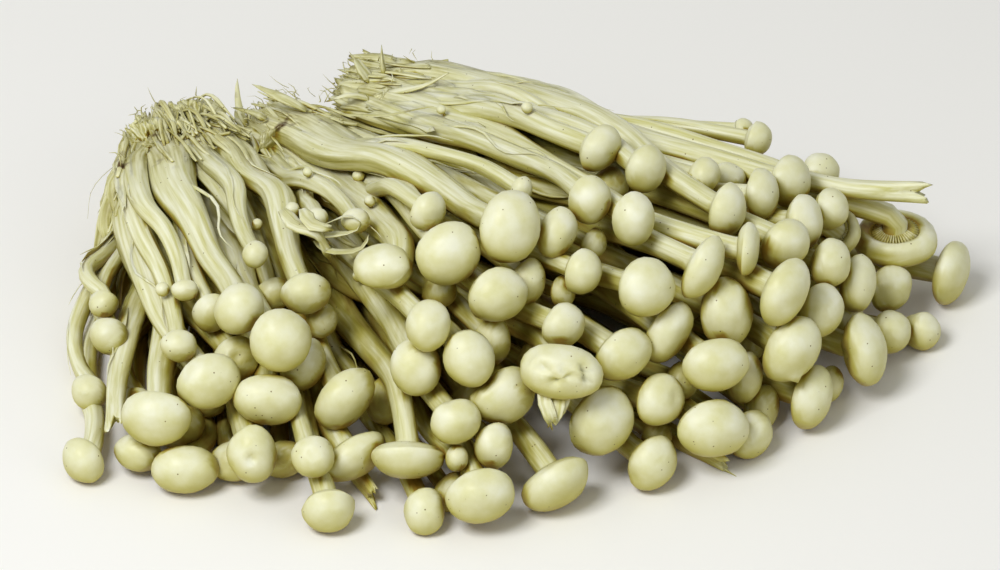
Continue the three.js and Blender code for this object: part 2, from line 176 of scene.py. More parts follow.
# %% Read the whole cluster
mushrooms = []
butts = {}
for clump in CLUMPS:
    core = merged_copy(f"{clump}_butt")
    body = BVHTree.FromBMesh(core)
    core.free()
    own = []
    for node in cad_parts:
        if node.startswith(clump) and not node.endswith("butt"):
            own += read_node(node, clump, body)
    mushrooms += own
    corners = [corner.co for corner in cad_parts[f"{clump}_butt"].data.vertices]
    front = middle_of(one.route[0] for one in own)
    axis = front - middle_of(corners)
    axis = Vector((axis.x, axis.y, 0)).normalized()
    sideways = axis.cross(UP)
    length = max((front - corner).dot(axis) for corner in corners)
    half_width = max(abs((corner - front).dot(sideways)) for corner in corners)
    height = max(corner.z for corner in corners)
    butts[clump] = Butt(front, axis, length, 2 * half_width, height)
for number, one in enumerate(mushrooms):
    one.seed = number
print("mushrooms read:", len(mushrooms), "of which capless:", sum(not one.cap for one in mushrooms))
for clump, butt in butts.items():
    print(clump, "butt, mm:", [round(side / MM, 1) for side in (butt.length, butt.width, butt.height)])


# %% [markdown]
# ## A straight shape, bent along a route
# Real stems bend everywhere, but a stem is easiest to shape while it is straight: turned about an
# axis like a table leg, then flattened and ridged. Afterwards each point moves to its place on the
# curved route, at the same distance from the cap. A Curve modifier could bend it too, but it needs
# a curve object for each stem, and its twist is hard to steer. The side of each route is carried
# along it without twisting, and it starts level, so that flattened stems lie like wet ribbons.

# %% Smooth routes
BEND_STEP = 1.5 * MM     # how far apart the points of a route are


class Route:
    """A smooth line through points, that a straight shape's z axis is laid along."""

    def __init__(self, points, heading, outward):
        ends = [2 * points[0] - points[1], *points, points[-1] + heading]
        fine = []
        for before, start, end, after in zip(ends, ends[1:], ends[2:], ends[3:]):
            reach = (end - start).length / 3
            leaving = start + (end - before).normalized() * reach
            arriving = end - (after - start).normalized() * reach
            fine += interpolate_bezier(start, leaving, arriving, end, 16)[:-1]
        fine.append(points[-1])
        drawn = sum((b - a).length for a, b in zip(fine, fine[1:]))
        self.step = min(BEND_STEP, drawn / 4)
        self.points = [fine[0]]
        for point in fine:
            while (point - self.points[-1]).length > self.step:
                last = self.points[-1]
                self.points.append(last + (point - last).normalized() * self.step)
        self.points.append(fine[-1])
        self.length = (len(self.points) - 1) * self.step
        self.axes = [(b - a).normalized() for a, b in zip(self.points, self.points[1:])]
        self.axes[-1] = self.axes[-2]
        self.axes.append(heading.normalized())
        side = self.axes[0].cross(outward)
        self.sides = []
        for axis in self.axes:
            side = (side - axis * side.dot(axis)).normalized()
            self.sides.append(side)

    def at(self, z):
        """The place, axis and side at z, which is 0 at the end of the route and negative before it."""
        share = (z + self.length) / self.step
        low = int(min(max(share, 0), len(self.points) - 2))
        across = min(max(share - low, 0), 1)
        place = self.points[low].lerp(self.points[low + 1], across)
        axis = self.axes[low].lerp(self.axes[low + 1], across).normalized()
        over = z if z > 0 else min(z + self.length, 0)
        return place + axis * over, axis, self.sides[low].lerp(self.sides[low + 1], across)

    def bend(self, spot):
        """Where the route puts a spot of the straight shape."""
        place, axis, side = self.at(spot.z)
        return place + side * spot.x + axis.cross(side) * spot.y


# %% Turn an outline about the z axis
def turned(outline, around):
    """A closed solid from an outline of (radius, z) points, which starts and ends on the axis."""
    mesh = bmesh.new()
    corners = [mesh.verts.new((radius, 0, z)) for radius, z in outline]
    edges = [mesh.edges.new(pair) for pair in zip(corners, corners[1:])]
    bmesh.ops.spin(
        mesh, geom=corners + edges, axis=UP, cent=(0, 0, 0), angle=math.tau, steps=around, use_merge=True
    )
    bmesh.ops.remove_doubles(mesh, verts=mesh.verts, dist=0.001 * MM)
    bmesh.ops.recalc_face_normals(mesh, faces=mesh.faces)
    return mesh


# %% Add a part to its piece
ON_TABLE = 0.1 * MM      # the lowest that flesh reaches above the table


def add_part(mesh, piece):
    """Rests a part on the table where it reaches that low, smooths its shading, and adds it to its piece."""
    for corner in mesh.verts:
        corner.co.z = max(corner.co.z, ON_TABLE)
    for face in mesh.faces:
        face.smooth = True
    part = bpy.data.meshes.new("part")
    mesh.to_mesh(part)
    mesh.free()
    piece.from_mesh(part)
    bpy.data.meshes.remove(part)


def bend_part(mesh, piece, route, shift, look, mould=None):
    """Bends a straight part, after noting for the finish where each point was and how it looks."""
    straight = mesh.verts.layers.float_vector.new("straight")
    looks = mesh.verts.layers.float_vector.new("look")
    for corner in mesh.verts:
        spot = corner.co.copy()
        corner[straight] = spot + shift
        corner[looks] = look(spot)
        corner.co = route.bend(spot)
        if mould:
            corner.co = mould(corner.co, spot)
    add_part(mesh, piece)


# %% Ease from one state to another
def ease(low, high, value):
    """0 below low, 1 above high, and a smooth change between them."""
    share = min(max((value - low) / (high - low), 0), 1)
    return share * share * (3 - 2 * share)


# %% [markdown]
# ## Stems
# A stem of enoki is a bundle of lengthwise fibres. Near the butt it is wide, flat and fused with
# its neighbours, and toward the cap it draws in to a round, firm stalk. So the turned shape is
# widened and ridged by amounts that fade along it. The ridges come from noise that is stretched
# along the stem, because real fibres run the whole length but wander and split.

# %% Shape a stem
AROUND = 24              # corners round a stem or a cap
RING = 2.4 * MM          # how far apart the rings of a stem are
FIBRE_LENGTH = 45 * MM   # how far a ridge runs before it fades
WIDE = 1.4               # how much broader than its solid the flesh of a stem is
THICK = 1.3              # and how much thicker


def stem_outline(one, neck, end):
    """From the torn end at z = end up to the neck."""
    radius = one.stem
    outline = [(0, end), (radius * 0.5, end + 0.3 * MM), (radius * 0.85, end + 1.4 * MM)]
    rings = round((neck - end) / RING)
    for ring in range(1, rings + 1):
        outline.append((radius, end + (neck - end) * ring / rings))
    return outline


def flow(spot, one, foot):
    """Moves a point of a plain round stem to where the fibres of a real one put it."""
    share = 1 - spot.z / foot
    spread = 1 - ease(0.05, one.full, share)
    angle = math.atan2(spot.y, spot.x)
    grain = Vector((math.cos(angle) * 1.9, math.sin(angle) * 1.9, spot.z / FIBRE_LENGTH + one.seed * 7.3))
    ridge = noise.noise(grain) * (0.12 + 0.26 * spread)
    grain.z *= 2.2
    ridge += noise.noise(grain * 2.1) * (0.02 + 0.05 * spread)
    swell = 1 + 0.12 * noise.noise(Vector((one.seed * 3.1, 0, spot.z / (17 * MM))))
    wide = (WIDE + one.widening * spread) * swell * (1 + ridge)
    thick = (THICK + 0.2 * spread) * swell * (1 + ridge)
    return Vector((spot.x * wide, spot.y * thick, spot.z))


# %% [markdown]
# ## Caps
# A young enoki cap is a soft ball or dome with its rim tucked in against the stem. The outline is
# two half-waves that meet at the widest ring: a full dome above and a tighter curve below, which
# turns in under the rim to a shallow well. No cap is a perfect ball: most are ovals, some are
# flat, and some have a dent or a second lobe where they grew against a neighbour. Those are
# moulded one by one, as seen by someone who looks down at the cluster from the front.

# %% Forms of the caps
ACROSS = Vector((1, 0, 0))
UPWARD = Vector((0, 0.6, 0.8))
TOWARD = Vector((0, -0.8, 0.6))


def seen_from_front(amounts):
    """A vector from its (across, upward, toward) amounts."""
    across, upward, toward = amounts
    return ACROSS * across + UPWARD * upward + TOWARD * toward


@dataclass
class Form:
    """How a cap is moulded."""
    longer: float = 1.0      # length over width
    slant: float = 0         # of the long way, in degrees anticlockwise from level
    flat: float = 1.0        # height of the cap over the usual height
    dents: tuple = ()        # each (across, upward, width in degrees, depth over the radius)
    gilled: bool = False     # opened, with its gills in view
    under: float = 0.42      # how far the rim comes down under the cap
    aim: tuple = ()          # (across, upward, toward) that the crown points, where it hangs otherwise
    shift: tuple = (0, 0, 0)     # (across, upward, toward), in mm, that it hangs aside


FORMS = {
    "left_stacked_pair": [Form(1.15, 8), Form(1.15, 0)],
    "left_middle_tuft": [
        Form(1.14, 25, dents=((-0.8, 0.1, 14, 0.1),)),
        Form(1.1, 80, dents=((0.1, 0.1, 13, 0.16),)),
    ],
    "left_right_tuft": [Form(1.38, 50), Form(1.15, 80)],
    "left_dimpled_pair": [
        Form(1.3, -15),
        Form(1.28, 98, dents=((0.02, -0.3, 11, 0.2), (0.0, -0.16, 8, 0.08))),
    ],
    "left_front_tuft": [Form(1.38, 2), Form(1.15, 0), Form(1.1, 60)],
    "left_low_tuft": [Form(1.5, 25), Form(1.3, 10)],
    "left_foremost_pair": [
        Form(),
        Form(1.05, 90, dents=((-0.15, 0.2, 9, 0.16), (0.1, 0.05, 9, 0.14))),
    ],
    "left_corner_tuft": [Form(1.25, -10), Form(), Form(1.1, 0)],
    "left_shoulder_tuft": [Form(1.12, 60), Form(1.1, 90)],
    "left_crest_tuft": [Form(1.05, 100), Form(1.15, 70)],
    "middle_sideways_mushroom": [
        Form(1.3, -6, flat=0.95, under=0.75, aim=(-0.5, 0.45, 0.75)),
    ],
    "middle_shaded_tuft": [Form(1.15, 0), Form(1.3, 80)],
    "middle_left_edge_tuft": [Form(1.2, 105), Form(1.14, 95)],
    "middle_centre_tuft": [Form(1.22, 108), Form(1.3, 100)],
    "middle_heart_mushroom": [
        Form(1.06, 60, dents=((-0.78, -0.3, 34, -0.3), (-0.66, 0.42, 16, 0.24), (-0.3, 0.05, 18, 0.05))),
        Form(1.1, 0),
    ],
    "middle_pebble_tuft": [
        Form(1.08, 0, dents=((-0.2, 0.75, 14, 0.12), (-0.75, 0.45, 22, -0.08))),
        Form(1.2, 90),
    ],
    "middle_front_tuft": [
        Form(1.16, 5, dents=((0.1, 0.5, 12, 0.08),)), Form(1.2, 95), Form(1.2, 92), Form(1.2, 60),
    ],
    "middle_hanging_mushroom": [Form(1.06, 2, flat=0.78)],
    "middle_leaning_mushroom": [Form(1.14, 42, flat=0.84)],
    "middle_folded_mushroom": [
        Form(1.5, -8, dents=(
            (-0.62, 0.12, 8, 0.24), (-0.42, 0.08, 7, 0.18), (-0.22, -0.4, 8, 0.26), (-0.14, -0.26, 7, 0.16),
            (0.08, 0.12, 7, 0.16), (0.28, -0.15, 7, 0.2), (0.72, 0.1, 8, 0.3), (0.76, -0.2, 8, 0.26),
            (-0.8, 0.4, 10, 0.12), (0.5, -0.02, 14, -0.06), (-0.05, -0.1, 12, -0.05),
        )),
        Form(1.1, 0),
    ],
    "middle_slanting_mushroom": [Form(1.18, 12), Form(1.1, 90)],
    "middle_round_mushroom": [Form(1.04, 100), Form()],
    "middle_outer_tuft": [Form(1.04, 0), Form(1.36, 55)],
    "middle_low_mushroom": [Form(1.04, 60, dents=((-0.7, -0.5, 14, 0.1),)), Form()],
    "middle_notch_tuft": [Form(1.3, 72), Form()],
    "middle_right_tuft": [Form(1.06, 30, dents=((0.8, 0.1, 18, 0.1),)), Form(1.1, 80)],
    "right_ridge_pair": [Form(1.26, 95), Form(1.16, 95)],
    "right_ridge_tuft": [Form(1.18, 95), Form(1.15, 60)],
    "right_oval_tuft": [Form(1.34, 66, dents=((0.1, -0.5, 12, 0.06),)), Form(1.2, 60)],
    "right_edge_on_tuft": [Form(1.6, 66), Form(1.1, 78, flat=0.62, under=0.6)],
    "right_brow_pair": [Form(1.04, 0), Form(1.15, 75)],
    "right_peaked_mushroom": [
        Form(1.24, 108, dents=((0.55, 0.62, 22, -0.08), (0.35, 0.3, 13, 0.07))),
        Form(1.1, 40),
    ],
    "right_tailed_mushroom": [Form(1.2, 48, dents=((0.15, -0.95, 7, -0.3),)), Form(1.3, 80)],
    "right_left_edge_pair": [Form(1.28, -4), Form(1.3, 85)],
    "right_low_pair": [Form(1.26, -8, dents=((-0.2, 0.1, 22, 0.05),)), Form(1.1, 60)],
    "right_front_pair": [Form(1.3, 74), Form(1.2, 70)],
    "right_lobed_mushroom": [
        Form(1.4, 115, dents=((-0.8, -0.3, 20, 0.32), (-0.4, -0.15, 16, 0.08))),
        Form(1.1, 60),
    ],
    "right_flank_pair": [Form(1.08, 60, dents=((0.35, 0.55, 14, 0.12),)), Form(1.45, 86)],
    "right_saddle_tuft": [Form(1.03, 0), Form(1.2, 95), Form(1.2, 90), Form(1.2, 0)],
    "right_shadow_tuft": [
        Form(1.2, 32), Form(1.05, 0), Form(1.06, 80, under=0.9, aim=(0.6, -0.1, 0.8)),
    ],
    "right_outlier": [Form(1.16, 68, flat=0.74)],
    "right_gilled_pair": [
        Form(1.18, -8, flat=0.74, gilled=True, aim=(0.1, -0.78, -0.62), shift=(1.4, -1.8, 0)),
        Form(flat=0.55, gilled=True),
    ],
}


def mould_cap(place, one):
    """Gives a point of a cap its listed form."""
    form = one.form
    off = place - one.centre
    slant = math.radians(form.slant)
    long_way = ACROSS * math.cos(slant) + UPWARD * math.sin(slant)
    short_way = long_way.cross(TOWARD)
    pull = math.sqrt(form.longer)
    off += long_way * off.dot(long_way) * (pull - 1) + short_way * off.dot(short_way) * (1 / pull - 1)
    for across, upward, width, depth in form.dents:
        toward = math.sqrt(max(1 - across * across - upward * upward, 0))
        aim = (ACROSS * across + UPWARD * upward + TOWARD * toward).normalized()
        turn = math.degrees(off.angle(aim, 0)) / width
        off *= 1 - depth * math.exp(-turn * turn)
    return one.centre + off


# %% Outline of a cap
DOME_RINGS = 11
RIM_RINGS = 7
DOME = 0.62              # how far the crown is above the widest ring, over the height of the cap


def cap_outline(one):
    """From the neck, under the rim, round the side and up to the crown. The widest ring is at z = 0."""
    height = one.height
    if one.form.gilled:
        floor = [(0.36, -0.28), (0.52, -0.2), (0.57, -0.2)]
        lip = [(0.57, -0.36), (0.64, -0.47), (0.78, -0.54), (0.91, -0.46), (0.98, -0.3), (1.0, -0.12)]
        outline = [(1.25 * one.stem, -0.36 * height)]
        outline += [(one.cap * out, height * up) for out, up in floor + lip]
    else:
        under = one.form.under * height
        outline = [(one.stem * 1.15, -1.02 * under), (one.stem * 1.6, -0.84 * under)]
        for ring in range(RIM_RINGS):
            turn = math.radians(160 - 70 * ring / RIM_RINGS)
            outline.append((one.cap * math.sin(turn) ** 0.6, under * math.cos(turn)))
    for ring in range(DOME_RINGS):
        turn = math.radians(90 * (1 - ring / DOME_RINGS))
        outline.append((one.cap * math.sin(turn) ** one.fullness, DOME * height * math.cos(turn)))
    outline.append((0, DOME * height))
    return outline


def lumpy(spot, one):
    """Moves a point of an even cap in or out by a few hundredths, in broad soft lumps."""
    place = spot / (one.cap * 1.1) + Vector((one.seed * 5.7, 0, 0))
    return spot * (1 + 0.07 * noise.noise(place) + 0.025 * noise.noise(place * 2.7))


def share_of_cap(spot, one):
    """1 in the cap, 0 in the stem, between them at the neck."""
    if not one.cap:
        return 0
    if one.form.gilled:
        if spot.z >= 0.05 * one.height:
            return 1
        return ease(1.2 * one.stem, 1.9 * one.stem, math.hypot(spot.x, spot.y))
    under = one.form.under * one.height
    return ease(-1.2 * under, -0.86 * under, spot.z)


# %% [markdown]
# ## Gills
# Under its rim a cap carries gills: thin plates that stand side by side and run from the stem
# toward the rim. Only an opened cap shows them. One flat block, turned round the stem again and
# again, is enough for plates this small, and they bend with the mushroom like all the rest of it.

# %% Gills
GILLS = 40
GILL_THICKNESS = 0.24 * MM
PALE_GILL = Vector((0, 0, 0.12))     # a look: neither cap nor torn, and a little gold


def make_gills(piece, one):
    """Thin plates that stand in a ring in the well of an opened cap."""
    mesh = bmesh.new()
    inner, outer = 1.2 * one.stem, 0.58 * one.cap
    slope = Matrix.Rotation(-math.atan2(0.16 * one.height, outer - inner), 4, "Y")
    size = Matrix.Diagonal((1.03 * (outer - inner), GILL_THICKNESS, 0.24 * one.height, 1))
    out = Matrix.Translation(((inner + outer) / 2, 0, -0.33 * one.height))
    for gill in range(GILLS):
        turn = Matrix.Rotation(math.tau * gill / GILLS, 4, "Z")
        bmesh.ops.create_cube(mesh, size=1, matrix=turn @ out @ slope @ size)
    bend_part(mesh, piece, one.line, Vector((0, 0, one.seed * 0.1)), lambda spot: PALE_GILL)


# %% Make one mushroom
TORN = 7 * MM            # how much of a torn end is ragged
RAGGED = 4 * MM          # how far its fibres differ in length
FLARE = 13 * MM          # how much of a capless stem is flattened before its end


def fork(flowed, spot, one):
    """Flattens the last of a capless stem and splits its end in two."""
    flared = ease(-FLARE, 0, spot.z)
    broad, slim = (0, 1) if abs(one.line.sides[-1].dot(TOWARD)) < 0.7 else (1, 0)
    flowed.z += flared * (abs(flowed[broad]) / one.stem - 0.8) * 3 * MM
    flowed[broad] *= 1 + 0.15 * flared
    flowed[slim] *= 1 - 0.6 * flared


def make_mushroom(piece, one):
    """Turns, shapes and bends one mushroom, and adds it to its piece."""
    foot = one.foot
    end = -one.line.length
    neck = -0.42 * one.height if one.form.gilled else -1.2 * one.form.under * one.height
    outline = stem_outline(one, neck if one.cap else -1.5 * MM, end)
    stump = [(one.stem * 0.85, -0.6 * MM), (one.stem * 0.5, 0), (0, 0.2 * MM)]
    outline += cap_outline(one) if one.cap else stump
    mesh = turned(outline, AROUND)
    for corner in mesh.verts:
        spot = corner.co
        flowed = flow(spot, one, foot)
        if one.cap:
            flowed = flowed.lerp(lumpy(spot, one), share_of_cap(spot, one))
        torn = 1 - ease(end, end + TORN, spot.z)
        if not one.cap:
            torn += ease(-4 * MM, 0, spot.z)
            fork(flowed, spot, one)
        fibre = Vector((spot.x, spot.y, 0)) * 1100 + Vector((one.seed, 0, 0))
        flowed.z += torn * RAGGED * noise.noise(fibre)
        corner.co = flowed

    def look(spot):
        out = math.hypot(spot.x, spot.y)
        in_ring = 1.3 * one.stem < out < 0.56 * one.cap
        in_well = one.form.gilled and in_ring and -0.4 * one.height < spot.z < 0
        near_butt = 1 - ease(foot - 3 * MM, foot + 14 * MM, spot.z)
        return Vector((share_of_cap(spot, one), near_butt, 1 if in_well else 0))

    def mould(place, spot):
        if not one.cap:
            return place
        return place.lerp(mould_cap(place, one), share_of_cap(spot, one))

    bend_part(mesh, piece, one.line, Vector((one.seed * 0.031, one.seed * 0.017, 0)), look, mould)
    if one.form.gilled:
        make_gills(piece, one)


# %% [markdown]
# ## Each mushroom on its route
# A stem doesn't stop at the face of its butt: it goes on inside, where the bases are fused. So each
# route starts inside the butt, leaves it at the foot of the CAD mushroom, and ends in the cap. The
# stems on the left flank bow outward, and a few caps hang another way than their solid does.

# %% Places in a butt
def in_butt(butt, along, across, up):
    """
    A place in a butt: along from its torn back, 0, to its front, 1, across from -1 to 1, and up
    from 0 to 1.
    """
    narrowing = 0.55 + 0.45 * along
    place = butt.front - butt.axis * butt.length * (1 - along)
    place += butt.axis.cross(UP) * butt.width / 2 * narrowing * across
    place.z = butt.height * (0.85 + 0.15 * along) * up
    return place


# %% Fit a route to each mushroom
TALLER = 1.06            # the flesh of a cap stands a little higher than its solid
# How far, in mm, some stems bow aside between their foot and their cap: across, upward, toward.
BOWS = {
    "left_rim_tuft": (-6.5, 0, 0), "left_corner_tuft": (-6, -2, 0), "left_outlier": (-5, 0, 1),
    "left_torn_stem": (-4, 0, 1), "left_stacked_pair": (-3, 0, 1),
}


def turn_cap(one):
    """Hangs a cap aside, and turns its crown where its form aims it."""
    heading = seen_from_front(one.form.aim).normalized()
    rise = one.rise
    one.centre = one.centre + seen_from_front(one.form.shift) * MM
    one.route[-1:] = [one.centre - heading * one.height * reach for reach in (0.72, 0.36)]
    one.crown = one.centre + heading * rise


def fit_route(one, first, draw):
    """Gives a mushroom its smooth line, and how wide, how far and how fully it spreads."""
    butt = butts[one.clump]
    foot = one.route[0]
    if one.form.aim:
        turn_cap(one)
    bow = seen_from_front(BOWS.get(one.node, (0, 0, 0))) * MM
    for number in range(1, len(one.route) - 1):
        one.route[number] += bow * math.sin(math.pi * number / (len(one.route) - 1))
    # The end of the torn stem stands clear of the flank.
    if one.node == "left_torn_stem":
        one.route[-1] += seen_from_front((-1, -2, 6)) * MM
    off = foot - butt.front
    across = off.dot(butt.axis.cross(UP)) * 2 / butt.width
    up = foot.z / butt.height
    back = draw.uniform(-0.05, 0.3)
    tail = []
    for along in (back, (back + 1) / 2):
        aside = across * 0.95 + draw.uniform(-0.08, 0.08)
        tail.append(in_butt(butt, along, aside, up + draw.uniform(-0.04, 0.05)))
    points = tail + one.route + ([one.centre] if one.cap else [])
    heading = (one.crown - one.centre).normalized() * 4 * MM if one.cap else one.route[-1] - one.route[-2]
    outward = off - butt.axis * off.dot(butt.axis) + UP * 9 * MM
    one.line = Route(points, heading, outward)
    one.foot = -one.line.length + (tail[0] - tail[1]).length + (tail[1] - foot).length
    one.widening = draw.uniform(1.0, 1.7) if first else draw.uniform(0.4, 1.0)
    one.full = draw.uniform(0.7, 1.0) if first else draw.uniform(0.55, 0.9)
    one.fullness = draw.uniform(0.82, 0.98)


# %% Make all the mushrooms
draw = random.Random(5)
pieces = {node: bmesh.new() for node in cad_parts}
for node, piece in pieces.items():
    tuft = [one for one in mushrooms if one.node == node]
    forms = FORMS.get(node, [])
    for number, one in enumerate(tuft):
        if number < len(forms):
            one.form = forms[number]
        else:
            one.form = Form(draw.uniform(1, 1.18), draw.uniform(0, 180))
        one.height = one.rise / DOME * one.form.flat * TALLER
        fit_route(one, number == 0, draw)
        make_mushroom(piece, one)
print("points in the mushrooms:", sum(len(piece.verts) for piece in pieces.values()))

# %% [markdown]
# ## Loose fibres
# Handling frays the outside of a clump: thin strips peel off the stems but stay rooted in the
# butt, and here and there a tiny new mushroom, a pin, stands on a stem. A strip is turned like a
# stem, only thinner, laid along the outer side of its stem's own route, and it lifts at its end.

# %% Strips
STRIP_AROUND = 10        # corners round a strip
STRIP_RING = 3 * MM      # how far apart the rings of a strip are
STRIP_HALF_THICKNESS = 0.3 * MM


def make_strip(piece, one, width, draw):
    """A thin strip that has peeled off a stem and is still rooted in the butt."""
    start = -one.line.length * draw.uniform(0.86, 1.0)
    end = one.foot * draw.uniform(0.2, 0.75)
    rings = round((end - start) / STRIP_RING)
    outline = [(0, start)]
    for ring in range(rings + 1):
        share = ring / rings
        outline.append((width * (1 - share ** 3) + 0.05 * MM, start + 0.1 * MM + (end - start) * share))
    outline.append((0, end + 0.3 * MM))
    mesh = turned(outline, STRIP_AROUND)
    aside = draw.uniform(-0.9, 0.9) * one.stem
    lift = draw.uniform(0, 2.2) * MM
    phase = draw.uniform(0, 20)
    for corner in mesh.verts:
        spot = corner.co
        share = (spot.z - start) / (end - start)
        wander = noise.noise(Vector((phase, 0, spot.z / (14 * MM)))) * 2.2 * one.stem
        depth = -1.4 * one.stem * (1 - 0.25 * abs(aside / one.stem)) - lift * ease(0.75, 1, share)
        ruffle = noise.noise(Vector((spot.x * 500, phase, spot.z / (6 * MM)))) * 0.35 * width
        thin = min(STRIP_HALF_THICKNESS / width, 0.6)
        across = spot.x + aside * (1 + one.widening) + wander
        corner.co = Vector((across, spot.y * thin + depth + ruffle, spot.z))

    def look(spot):
        near_butt = 1 - ease(one.foot - 3 * MM, one.foot + 18 * MM, spot.z)
        return Vector((0, 0.85 * near_butt, 0))

    bend_part(mesh, piece, one.line, Vector((phase * 0.01, 0, 0)), look)


# %% Pins
PIN_AROUND = 12          # corners round a pin


def make_pin(piece, one, share, lean, length, cap):
    """A tiny mushroom on the outer side of a stem."""
    root, axis, side = one.line.at(one.foot * (1 - share))
    out = side.cross(axis)
    root += out * one.stem * 0.9
    tip = root + (out + axis * lean).normalized() * length
    route = Route([root, (root + tip) / 2 + axis * 0.15 * length, tip], (tip - root) * 0.4, side)
    stalk = 0.34 * cap
    outline = [(0, -route.length), (stalk * 1.5, -route.length + 0.1 * MM), (stalk, -0.6 * route.length)]
    outline += [(stalk, -0.7 * cap)]
    for turn in range(150, -1, -15):
        outline.append((cap * math.sin(math.radians(turn)), cap * 0.9 * math.cos(math.radians(turn))))
    outline[-1] = (0, cap * 0.9)

    def look(spot):
        return Vector((ease(-cap, -0.6 * cap, spot.z), 0, 0))

    bend_part(turned(outline, PIN_AROUND), piece, route, Vector((0, 0, 0)), look)


# %% Add the strips and pins
for one in mushrooms:
    make_strip(pieces[one.node], one, draw.uniform(0.3, 0.7) * MM, draw)
    if draw.random() < 0.6:
        make_strip(pieces[one.node], one, draw.uniform(1.2, 2.2) * MM, draw)

# Each: its piece, how far along the stem it stands, how far it leans, then its length and the radius
# of its cap, in mm.
PINS = (
    ("middle_rear_tuft", 0.42, 0.6, 3.2, 1.3), ("middle_sideways_mushroom", 0.55, 0.8, 3, 1.2),
    ("right_ridge_pair", 0.2, 0.3, 3, 1.0), ("middle_small_pair", 0.5, 1.0, 2.8, 1.0),
    ("left_slender_tuft", 0.72, 0.8, 3.4, 1.5), ("left_upper_tuft", 0.6, 0.5, 3.4, 1.2),
    ("left_inner_tuft", 0.55, 0.9, 3.6, 1.5), ("middle_left_edge_tuft", 0.6, 0.8, 3.6, 1.3),
    ("right_upper_pair", 0.66, 0.9, 3, 1.2), ("middle_broad_mushroom", 0.34, 0.7, 2.6, 0.9),
)
for node, share, lean, length, cap in PINS:
    host = next(one for one in mushrooms if one.node == node)
    make_pin(pieces[node], host, share, lean, length * MM, cap * MM)
print("pins:", len(PINS))

# %% [markdown]
# ## Torn butts
# Where a clump was pulled off its block, the fused stem bases end in a ragged, matted mass. The
# core is a copy of the engineering solid, drawn in and roughened. Over it lie blunt, tapering
# chunks that end at the tear, then longer strands, then wisps as thin as hair. Sculpting one lump
# would look smoother than a real tear does, while separate strands overlap and leave dark pits
# between them.

# %% One strand
STRAND_RING = 2 * MM     # how far apart the rings of a strand are


def make_strand(piece, points, radius, seed, around=8, flat=0.6, rough=0.5, torn=1, blunt=0.5):
    """An uneven strand along a few points. It tapers to a blunt, frayed end."""
    route = Route(points, points[-1] - points[-2], UP)
    rings = max(round(route.length / STRAND_RING), 3)
    fringe = 2.5 * radius
    outline = [(0, -route.length)]
    for ring in range(rings + 1):
        share = ring / rings
        taper = (0.5 + 0.5 * ease(0, 0.3, share)) * (1 - (1 - blunt) * share ** 1.5)
        outline.append((radius * taper, -route.length * (1 - share) + 0.05 * MM))
    outline.append((0, 0.3 * MM))
    mesh = turned(outline, around)
    for corner in mesh.verts:
        spot = corner.co
        uneven = 1 + rough * noise.noise(Vector((spot.x * 500, spot.y * 500, spot.z * 210 + seed * 3.7)))
        sway = noise.noise(Vector((seed * 1.9, 0, spot.z * 180))) * radius * 0.6
        curl = noise.noise(Vector((spot.x * 420, seed * 2.3, spot.z * 160))) * radius * (1 - flat) * 0.6
        fray = noise.noise(Vector((spot.x, spot.y, 0)) * 900 + UP * seed)
        fray *= ease(-fringe, 0, spot.z)
        across = spot.x * uneven + sway
        corner.co = Vector((across, spot.y * flat * uneven + curl, spot.z + fringe * fray))

    def look(spot):
        return Vector((0, torn, 0))

    bend_part(mesh, piece, route, Vector((seed * 0.023, 0, seed * 0.011)), look)


# %% Random steps
def jitter(draw, size):
    """A random step of at most about one size each way, more often up than down."""
    return Vector((draw.uniform(-1, 1), draw.uniform(-1, 1), draw.uniform(-0.7, 1))) * size


def bowed(start, finish, draw, size):
    """Three points from start to finish, with the middle one moved aside."""
    return [start, (start + finish) / 2 + jitter(draw, size), finish]


# %% The core of a butt
def make_core(piece, clump):
    """The solid inside the strands, which closes the gaps between them."""
    core = merged_copy(f"{clump}_butt")
    bmesh.ops.triangulate(core, faces=core.faces)
    bmesh.ops.subdivide_edges(core, edges=core.edges, cuts=6, use_grid_fill=True)
    straight = core.verts.layers.float_vector.new("straight")
    looks = core.verts.layers.float_vector.new("look")
    middle = in_butt(butts[clump], 0.5, 0, 0.45)
    for corner in core.verts:
        corner[straight] = corner.co.copy()
        corner[looks] = Vector((0, 1, 0))
        place = middle + (corner.co - middle) * 0.86
        rough = noise.noise(place * 230) * 2.2 * MM + noise.noise(place * 640) * 1.1 * MM
        corner.co = place + (place - middle).normalized() * rough
    add_part(core, piece)


# %% Chunks, strands and wisps
CHUNKS = 60
STRANDS = 100
WISPS = 80


def add_chunk(piece, butt, number, draw):
    """A thick strand that ends at the tear."""
    across = draw.uniform(-0.95, 0.95)
    up = draw.choice((draw.uniform(0.15, 0.95), draw.uniform(0.75, 0.97)))
    start = in_butt(butt, draw.uniform(0.45, 0.8), across * 0.92, up * 0.92)
    finish = in_butt(butt, draw.uniform(-0.12, 0.12), across, up) + jitter(draw, 1.4 * MM)
    points = bowed(start, finish, draw, 1.2 * MM)
    make_strand(piece, points, draw.uniform(0.8, 2.0) * MM, number)


def add_long_strand(piece, butt, number, draw):
    """A finer strand over the top of a butt or, for one in three, down its sides."""
    across = draw.uniform(-1.08, 1.08)
    up = math.sqrt(max(1 - across * across * 0.5, 0.2)) * draw.uniform(0.85, 1.02)
    if draw.random() < 0.35:
        up = draw.uniform(0.1, 0.9)
        across = math.copysign(draw.uniform(0.95, 1.12), across)
    start = in_butt(butt, draw.uniform(0.7, 1.5), across * 0.96, up * 0.98)
    back = draw.uniform(-0.15, 0.4)
    finish = in_butt(butt, back, across + draw.uniform(-0.2, 0.2), up) + jitter(draw, 1.5 * MM)
    points = bowed(start, finish, draw, 1.4 * MM)
    make_strand(piece, points, draw.uniform(0.35, 0.9) * MM, number, blunt=0.25)


